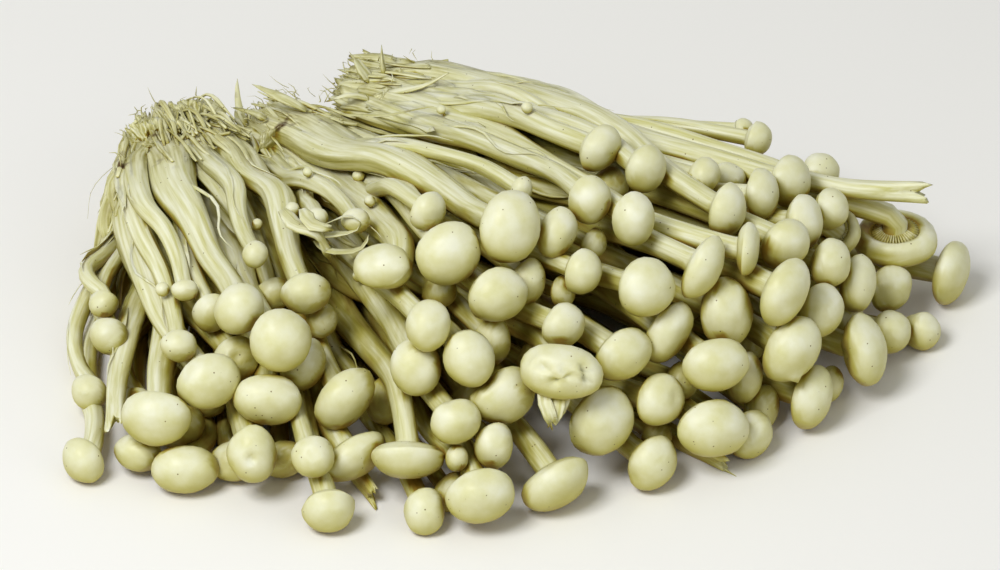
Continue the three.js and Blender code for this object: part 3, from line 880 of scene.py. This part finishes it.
def add_wisp(piece, butt, number, draw):
    """A short curled hair, anywhere on a butt."""
    across = draw.uniform(-1.1, 1.1)
    up = draw.choice((draw.uniform(0.1, 1.0), draw.uniform(0.85, 1.03)))
    start = in_butt(butt, draw.uniform(-0.1, 1.1), across, up)
    curl = jitter(draw, 2.2 * MM)
    finish = start + curl - butt.axis * draw.uniform(0, 3) * MM
    points = bowed(start, finish, draw, 1.5 * MM)
    radius = draw.uniform(0.12, 0.26) * MM
    make_strand(piece, points, radius, number, around=3, flat=1.0, blunt=0.2)


# %% Cover the butts
for clump, butt in butts.items():
    piece = pieces[f"{clump}_butt"]
    make_core(piece, clump)
    for amount, add in ((CHUNKS, add_chunk), (STRANDS, add_long_strand), (WISPS, add_wisp)):
        for number in range(amount):
            add(piece, butt, number, draw)
    print(clump, "butt:", len(piece.verts), "points")

# %% [markdown]
# ## The knot and the torn flank
# The left butt is the roughest. Its top is a knot of tangled fibres, with pits between them, and
# down its outer side hang strips of skin, with hairs among them. Curves wound by hand could show
# every loop of such a knot, but a displaced sphere gives its ridges and pits at once, and short
# strands over it break up the outline.

# %% A mat of fibres
def make_mat(piece, butt, middle, size):
    """A lump of matted fibres, ridged and pitted."""
    mesh = bmesh.new()
    bmesh.ops.create_icosphere(mesh, subdivisions=6, radius=1)
    straight = mesh.verts.layers.float_vector.new("straight")
    looks = mesh.verts.layers.float_vector.new("look")
    sideways = butt.axis.cross(UP)
    for corner in mesh.verts:
        out = corner.co.copy()
        grain = Vector((out.x * 3.4, out.y * 1.3, out.z * 3.4))
        ridge = abs(noise.noise(grain)) + 0.6 * abs(noise.noise(grain * 2.3))
        reach = 1.08 - 0.75 * ridge + 0.25 * noise.noise(out * 1.6)
        corner[straight] = Vector((out.x, out.z, out.y)) * size.length
        corner[looks] = Vector((0, 0.9, 0))
        place = sideways * out.x * size.x + butt.axis * out.y * size.y + UP * out.z * size.z
        corner.co = middle + place * reach
    add_part(mesh, piece)


# %% The knot of the left butt
KNOTTED = 130
left = butts["left"]
make_mat(pieces["left_butt"], left, in_butt(left, 0.3, -0.3, 0.84), Vector((9, 8, 6)) * MM)
make_mat(pieces["left_butt"], left, in_butt(left, 0.45, 0.5, 0.8), Vector((7, 7, 6)) * MM)
for number in range(KNOTTED):
    across = draw.uniform(-1.0, 0.35)
    start = in_butt(left, draw.uniform(0.35, 0.9), across, draw.uniform(0.9, 1.0))
    back = draw.uniform(-0.1, 0.3)
    aside = across * 0.7 + draw.uniform(-0.3, 0.3)
    finish = in_butt(left, back, aside, draw.uniform(0.7, 1.02))
    bow = (start + finish) / 2 + UP * draw.uniform(0.5, 2.5) * MM + jitter(draw, 2 * MM)
    radius = draw.uniform(0.2, 0.75) * MM
    make_strand(pieces["left_butt"], [start, bow, finish], radius, number, flat=0.8)

# %% The torn flank of the left butt
FLANK = 34
FLANK_WISPS = 26
for number in range(FLANK + FLANK_WISPS):
    wide = number < FLANK
    start = in_butt(left, draw.uniform(0.5, 1.0), draw.uniform(0.5, 1.0), draw.uniform(0.3, 0.95))
    low = draw.uniform(6, 26)
    fall = seen_from_front((-low * draw.uniform(0.1, 0.38), -low, draw.uniform(0, 0.35) * low)) * MM
    finish = start + (fall if wide else fall * 0.6 + jitter(draw, 4 * MM))
    bow = (start + finish) / 2 + ACROSS * draw.uniform(-2.5, 0) * MM + jitter(draw, 1 * MM)
    radius = draw.uniform(1.0, 2.4) if wide else draw.uniform(0.1, 0.2)
    around, flat = (10, 0.35) if wide else (3, 1.0)
    torn = draw.uniform(0.3, 1)
    make_strand(
        pieces["left_butt"], [start, bow, finish], radius * MM, number, around, flat, torn=torn, blunt=0.35,
    )

# %% [markdown]
# ## Single torn pieces and films
# A few torn strips stand out from their clump, and thin, curled films of skin stay where
# mushrooms were pulled apart. A cloth simulation could curl them, but each is seen alone, so a
# strand pressed flat, along a few listed points, puts each bend just where it belongs.

# %% Single torn pieces
# Each: its piece, a place in that butt (along, across, up), then points (across, upward, toward), in
# mm from that place, and the half width, in mm.
TORN_PIECES = (
    ("middle_butt", (0.3, 0.85, 0.9), ((-1.5, 4, 0), (-2, 9, 0)), 1.0),
    ("middle_butt", (0.9, -0.2, 0.98), ((-4, 2.2, 1), (-10, 5, 1)), 1.5),
    ("middle_butt", (0.6, 0.5, 0.98), ((-2, 1, 0), (-4.5, 1.5, 0)), 1.8),
    ("middle_butt", (1.5, -0.3, 0.98), ((8, -0.5, 3), (19, 1.5, 3)), 0.6),
    ("right_butt", (0.5, 0.3, 0.95), ((-2, 3, 1), (-3.5, 5, 1)), 2.2),
    ("right_butt", (0.6, -0.1, 0.9), ((-1, 3, 2), (-1, 6, 3)), 1.8),
    ("right_butt", (0.7, 0.6, 0.9), ((-5, 0.8, 2), (-9, -0.5, 2)), 1.2),
    ("right_butt", (0.9, 0.5, 0.95), ((6, 1, 3), (12, 3.5, 4)), 1.2),
)
for number, (node, place, steps, half_width) in enumerate(TORN_PIECES):
    clump = node.split("_")[0]
    start = in_butt(butts[clump], *place)
    points = [start] + [start + seen_from_front(step) * MM for step in steps]
    radius = half_width * MM
    make_strand(pieces[node], points, radius, number, around=12, flat=0.35, torn=0.5, blunt=0.3)

# %% Films of torn skin
# Each: its piece, which of its caps, then points (across, upward, toward), in mm from that cap, and
# the half width, in mm.
FILMS = (
    ("middle_small_pair", 1, (
        (-1, -3, 0), (3, -3.4, 2.5), (8, -2.6, 4), (9.4, -0.4, 4.5), (6, 0.4, 5), (2.5, -1, 6),
    ), 1.0),
    ("middle_small_pair", 1, ((0, -4.5, 0), (1, -6, 2), (5, -7, 3), (9, -6, 3.5), (10.5, -4, 4)), 1.0),
    ("middle_small_pair", 1, ((-7, 1.5, 1), (-4, -1.4, 3), (0, -2.6, 4), (2.4, -6, 2)), 2.2),
    ("middle_small_pair", 1, ((-3, 2, 2), (-1, -1, 4), (3, -2, 4.5)), 1.5),
    ("middle_folded_mushroom", 0, ((-3, -2, -1), (-3.2, -6, 0.5), (-2, -9.5, 0)), 1.8),
    ("middle_folded_mushroom", 0, ((-0.5, -3, -1), (-0.8, -7, 0), (-1.6, -10, -1)), 1.4),
    ("middle_folded_mushroom", 0, ((1, -3, -2), (0.6, -6, -1), (0, -8, -1)), 1.2),
)
for number, (node, cap, steps, half_width) in enumerate(FILMS):
    centre = [one.centre for one in mushrooms if one.node == node][cap]
    points = [centre + seen_from_front(step) * MM for step in steps]
    radius = half_width * MM
    make_strand(pieces[node], points, radius, number, around=14, flat=0.14, rough=0.9, torn=0.15, blunt=0.7)
print("points with the butts:", sum(len(piece.verts) for piece in pieces.values()))

# %% [markdown]
# ## How shaded each point is
# The colour of the flesh carries painted shade: each point turns golden, then brown, as far as it is
# shaded, in the heap, under caps and on sides turned from the light, while open tops stay ivory. For
# each point, rays go out toward the light above and in front. What is missing from the light of a
# fully open top is kept as the point's shade, for the finish to read. The engineering solids stop
# the rays; they are coarse, which makes this quick.

# %% Measure the shade of every point
SKY = [Vector(ray).normalized() for ray in (
    (0, 0, 1), (0, -0.8, 0.6), (0.6, -0.3, 0.7), (-0.6, -0.3, 0.7), (0, 0.6, 0.8),
    (-0.8, -0.5, 0.4), (0.8, -0.5, 0.4), (-0.6, 0.6, 0.5), (0.6, 0.6, 0.5),
)]
LIGHT = Vector((-0.1, -0.3, 0.95))      # a surface that faces this way is lit best
SCATTER = 0.35           # light that comes in at the edge of a surface, since flesh is translucent
# The light of an open top, a little lowered so that a crowded top still counts as fully lit.
FULL_LIGHT = 0.78 * sum(max(ray.dot(LIGHT) + SCATTER, 0) for ray in SKY)
SKIN = 2.6 * MM          # rays start this far out, clear of a point's own solid
HEAP = 26 * MM           # and what is farther away than this doesn't stop them
corners, faces = [], []
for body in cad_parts.values():
    faces += [[len(corners) + index for index in face.vertices] for face in body.data.polygons]
    corners += [corner.co.copy() for corner in body.data.vertices]
heap = BVHTree.FromPolygons(corners, faces)
for piece in pieces.values():
    piece.normal_update()
    shade = piece.verts.layers.float.new("shade")
    for corner in piece.verts:
        start = corner.co + corner.normal * SKIN
        light = 0
        for ray in SKY:
            facing = ray.dot(corner.normal) + SCATTER
            if facing > 0 and heap.ray_cast(start, ray, HEAP)[0] is None:
                light += facing
        # This shade is painted into the colour by the finish, as gold and then brown.
        corner[shade] = 1 - min(light / FULL_LIGHT, 1)
print("shade measured against", len(faces), "faces")

# %% [markdown]
# ## Finishes
# Fresh mushroom flesh is moist and translucent: light enters it, spreads a few millimetres and
# comes out again, tinted yellow-green. That is subsurface scattering. A colour that was painted on
# could show neither that softness nor the grain of the fibres, so one material carries patterns in
# real sizes, and the attributes on each point tell it where it is on the mushroom. One of them is
# the point's shade, which the material paints into the colour as gold and then brown.

# %% Node helper and colours
def linear(code):
    """An sRGB hex colour as linear red, green, blue and alpha."""
    levels = [int(code[place:place + 2], 16) / 255 for place in (1, 3, 5)]
    return [level / 12.92 if level <= 0.04045 else ((level + 0.055) / 1.055) ** 2.4 for level in levels] + [1]


def add_node(tree, kind, links=None, **settings):
    """Adds a node, sets its settings, and joins or fills its inputs."""
    node = tree.nodes.new(kind)
    for name, value in settings.items():
        setattr(node, name, value)
    for socket, source in (links or {}).items():
        if isinstance(source, bpy.types.NodeSocket):
            tree.links.new(source, node.inputs[socket])
        else:
            node.inputs[socket].default_value = source
    return node


def new_material(name):
    """An empty material and its node tree."""
    material = bpy.data.materials.new(name)
    material.use_nodes = True
    material.node_tree.nodes.clear()
    return material, material.node_tree


# %% Patterns in the flesh
FIBRE_WIDTH = 0.8 * MM       # a bundle of fibres: a single one is far too fine to show
STREAK_LENGTH = 14 * MM      # how far a streak of fibres keeps its colour
MOTTLE = 5 * MM              # the size of the drier and damper patches of the skin
PORE = 0.35 * MM             # the grain of the skin, drawn coarse enough to show


def flesh_patterns(tree):
    """Fibres run along the straight shape. The mottling and pores of the skin run every way."""
    straight = add_node(tree, "ShaderNodeAttribute", attribute_name="straight").outputs["Vector"]
    place = add_node(tree, "ShaderNodeTexCoord").outputs["Object"]
    stretch = (1 / FIBRE_WIDTH, 1 / FIBRE_WIDTH, 1 / STREAK_LENGTH)
    along = add_node(tree, "ShaderNodeMapping", {"Vector": straight, "Scale": stretch})
    patterns = []
    for vector, scale, detail in (
        (along.outputs["Vector"], 1.0, 3.0), (place, 1 / MOTTLE, 4.0), (place, 1 / PORE, 2.0),
    ):
        links = {"Vector": vector, "Scale": scale, "Detail": detail}
        patterns.append(add_node(tree, "ShaderNodeTexNoise", links).outputs["Fac"])
    return patterns


# %% Colours of clean and torn flesh
A_COLOUR, B_COLOUR, MIXED = 6, 7, 2     # the colour sockets of a Mix node


def flesh_colour(tree, fibres, mottle, cap, torn):
    """Stems are streaked and caps are mottled. Torn flesh is ragged, with brown pits."""
    # Each layer: the pattern that picks its colour, the low and high ends of it, and two colours.
    layers = []
    for value, low, high, first, second in (
        (fibres, 0.28, 0.66, "#CAC884", "#EDEED3"),
        (mottle, 0.3, 0.7, "#DCDBA8", "#ECEDD6"),
        (fibres, 0.35, 0.62, "#9C9548", "#E3E1B0"),
    ):
        part = add_node(tree, "ShaderNodeMapRange", {"Value": value, "From Min": low, "From Max": high})
        links = {"Factor": part.outputs["Result"], A_COLOUR: linear(first), B_COLOUR: linear(second)}
        layers.append(add_node(tree, "ShaderNodeMix", links, data_type="RGBA").outputs[MIXED])
    stem, skin, ragged = layers
    links = {"Factor": cap, A_COLOUR: stem, B_COLOUR: skin}
    clean = add_node(tree, "ShaderNodeMix", links, data_type="RGBA").outputs[MIXED]
    pits = add_node(tree, "ShaderNodeMapRange", {"Value": mottle, "From Min": 0.62, "From Max": 0.72})
    links = {"Factor": pits.outputs["Result"], A_COLOUR: ragged, B_COLOUR: linear("#5A4420")}
    pitted = add_node(tree, "ShaderNodeMix", links, data_type="RGBA").outputs[MIXED]
    patches = add_node(tree, "ShaderNodeMapRange", {"Value": mottle, "From Min": 0.25, "From Max": 0.6})
    links = {0: torn, 1: patches.outputs["Result"]}
    patchy = add_node(tree, "ShaderNodeMath", links, operation="MULTIPLY").outputs[0]
    links = {"Factor": patchy, A_COLOUR: clean, B_COLOUR: pitted}
    return add_node(tree, "ShaderNodeMix", links, data_type="RGBA").outputs[MIXED]


# %% Painted shade and gills
def flesh_painted_shade(tree, colour, gill):
    """Paints shade into the colour: shaded flesh turns golden, then brown. Gills are golden too."""
    shade = add_node(tree, "ShaderNodeAttribute", attribute_name="shade").outputs["Fac"]
    shade_tint = linear("#FFFFFF")
    # Painted shade: gold where a point is partly shaded, brown where it is deeply shaded.
    for low, high, shaded_colour in ((0.04, 0.6, "#D4CC7E"), (0.6, 1.0, "#AC8C42")):
        part = add_node(tree, "ShaderNodeMapRange", {"Value": shade, "From Min": low, "From Max": high})
        links = {"Factor": part.outputs["Result"], A_COLOUR: shade_tint, B_COLOUR: linear(shaded_colour)}
        shade_tint = add_node(tree, "ShaderNodeMix", links, data_type="RGBA").outputs[MIXED]
    links = {"Factor": 1.0, A_COLOUR: colour, B_COLOUR: shade_tint}
    colour = add_node(tree, "ShaderNodeMix", links, data_type="RGBA", blend_type="MULTIPLY").outputs[MIXED]
    links = {"Factor": gill, A_COLOUR: colour, B_COLOUR: linear("#CDB850")}
    return add_node(tree, "ShaderNodeMix", links, data_type="RGBA").outputs[MIXED]


# %% Specks of growing medium
SPECK_SPACING = 1.6 * MM


def flesh_specks(tree, colour):
    """Brown specks, one in each cell of a Voronoi pattern, of which a third are shown."""
    place = add_node(tree, "ShaderNodeTexCoord").outputs["Object"]
    cells = add_node(tree, "ShaderNodeTexVoronoi", {"Vector": place, "Scale": 1 / SPECK_SPACING})
    links = {"Value": cells.outputs["Distance"], "From Min": 0.12, "From Max": 0.07}
    speck = add_node(tree, "ShaderNodeMapRange", links).outputs["Result"]
    chosen = add_node(tree, "ShaderNodeMath", {0: cells.outputs["Color"], 1: 0.66}, operation="GREATER_THAN")
    links = {0: speck, 1: chosen.outputs[0]}
    shown = add_node(tree, "ShaderNodeMath", links, operation="MULTIPLY").outputs[0]
    links = {"Factor": shown, A_COLOUR: colour, B_COLOUR: linear("#7B6C3A")}
    return add_node(tree, "ShaderNodeMix", links, data_type="RGBA").outputs[MIXED]


# %% Relief
FIBRE_RELIEF = 0.2 * MM
PORE_RELIEF = 0.1 * MM


def flesh_relief(tree, fibres, pores, cap):
    """Fibres stand up on stems and not on caps. Over both lie the fine pores."""
    uncapped = add_node(tree, "ShaderNodeMath", {0: 1.0, 1: cap}, operation="SUBTRACT").outputs[0]
    ridges = add_node(tree, "ShaderNodeMath", {0: fibres, 1: uncapped}, operation="MULTIPLY").outputs[0]
    links = {"Height": ridges, "Strength": 0.4, "Distance": FIBRE_RELIEF}
    ridged = add_node(tree, "ShaderNodeBump", links).outputs["Normal"]
    links = {"Height": pores, "Strength": 0.12, "Distance": PORE_RELIEF, "Normal": ridged}
    return add_node(tree, "ShaderNodeBump", links).outputs["Normal"]


# %% Mushroom flesh
def flesh_finish():
    """Fresh enoki flesh, grown and torn. It looks like wet wax: pale, soft-edged, and yellow in its depths,
    which are painted shade in gold and brown.
    """
    material, tree = new_material("moist_mushroom_flesh")
    look = add_node(tree, "ShaderNodeAttribute", attribute_name="look").outputs["Vector"]
    cap, torn, gill = add_node(tree, "ShaderNodeSeparateXYZ", {"Vector": look}).outputs
    fibres, mottle, pores = flesh_patterns(tree)
    colour = flesh_colour(tree, fibres, mottle, cap, torn)
    # Painted shade: shaded points turn golden, then brown.
    colour = flesh_painted_shade(tree, colour, gill)
    gloss = add_node(tree, "ShaderNodeMapRange", {"Value": mottle, "To Min": 0.32, "To Max": 0.5})
    shader = add_node(tree, "ShaderNodeBsdfPrincipled", {
        "Base Color": flesh_specks(tree, colour),
        "Roughness": gloss.outputs["Result"],
        "Normal": flesh_relief(tree, fibres, pores, cap),
        "IOR": 1.4,
        "Subsurface Weight": 0.4,
        "Subsurface Radius": (1.0, 0.96, 0.8),
        "Subsurface Scale": 0.8 * MM,
    })
    add_node(tree, "ShaderNodeOutputMaterial", {"Surface": shader.outputs["BSDF"]})
    return material


flesh = flesh_finish()
print("flesh:", len(flesh.node_tree.nodes), "nodes")

# %% [markdown]
# ## From meshes to pieces
# A tuft grew as one piece, so it stays one object here, in the place of its own solid. One object
# for each mushroom would be as easy to make, but a tuft's stems are fused at the foot and never part.

# %% Make the pieces
for node, mesh in pieces.items():
    torn_butt = node.endswith("butt")
    name = f"{node}_fibres" if torn_butt else f"{node}_flesh"
    data = bpy.data.meshes.new(name)
    mesh.to_mesh(data)
    mesh.free()
    data.materials.append(flesh)
    piece = bpy.data.objects.new(name, data)
    bpy.context.scene.collection.objects.link(piece)
    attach(piece, "root")
    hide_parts(node)

# %% [markdown]
# ## Floor, light and camera
# The cluster lies on a pale table under soft studio light. A small hard lamp would draw every fibre
# in black and white, while a broad lamp and a bright room keep the flesh pale and its edges soft.

# %% Floor
FLOOR_HALF_WIDTH = 3
floor_mesh = bmesh.new()
bmesh.ops.create_grid(floor_mesh, x_segments=1, y_segments=1, size=FLOOR_HALF_WIDTH)
floor_data = bpy.data.meshes.new("floor")
floor_mesh.to_mesh(floor_data)
floor_mesh.free()
# Matt white paint has no highlight of its own, so the eye sees only the cluster's soft shadow on it.
table, tree = new_material("matt_white_table")
paint = add_node(tree, "ShaderNodeBsdfPrincipled", {"Base Color": linear("#F7F7F5"), "Roughness": 0.8})
add_node(tree, "ShaderNodeOutputMaterial", {"Surface": paint.outputs["BSDF"]})
floor_data.materials.append(table)
floor = bpy.data.objects.new("floor", floor_data)
bpy.context.scene.collection.objects.link(floor)
floor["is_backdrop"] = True

# %% Lights
middle = (cad_low + cad_high) / 2


def softbox(name, offset, size, power):
    """A square lamp that looks at the middle of the cluster."""
    lamp = bpy.data.lights.new(name, "AREA")
    lamp.size = size
    lamp.energy = power
    box = bpy.data.objects.new(name, lamp)
    box.location = middle + Vector(offset)
    box.rotation_euler = (-Vector(offset)).to_track_quat("-Z", "Y").to_euler()
    bpy.context.scene.collection.objects.link(box)


# Each: where it is from the middle of the cluster, its width, in metres, and its power, in watts.
softbox("key", (-0.4, -0.45, 0.85), 0.4, 7.4)
softbox("fill", (0.8, -0.8, 0.5), 0.9, 1.4)
world = bpy.data.worlds.new("studio")
world.use_nodes = True
room = world.node_tree.nodes["Background"].inputs
room["Color"].default_value = linear("#FBFAF4")
room["Strength"].default_value = 0.4
bpy.context.scene.world = world
bpy.context.scene.view_settings.view_transform = "Standard"

# %% Camera
# A long lens, far away, keeps sizes nearly the same from the front of the cluster to the back.
VIEW_DISTANCE = 1.6
aim = middle + Vector((-4.9, -20.1, 3.1)) * MM
view = Vector((0, -0.8, 0.6))
lens = bpy.data.cameras.new("camera")
lens.sensor_width = 36
lens.lens = 288
camera = bpy.data.objects.new("camera", lens)
camera.location = aim + view * VIEW_DISTANCE
camera.rotation_euler = (-view).to_track_quat("-Z", "Y").to_euler()
bpy.context.scene.collection.objects.link(camera)
bpy.context.scene.camera = camera

# %% How far the flesh stands out of the CAD box
low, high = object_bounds()
print("proud of the CAD box, mm:", [round(c / MM, 1) for c in [*(cad_low - low), *(high - cad_high)]])
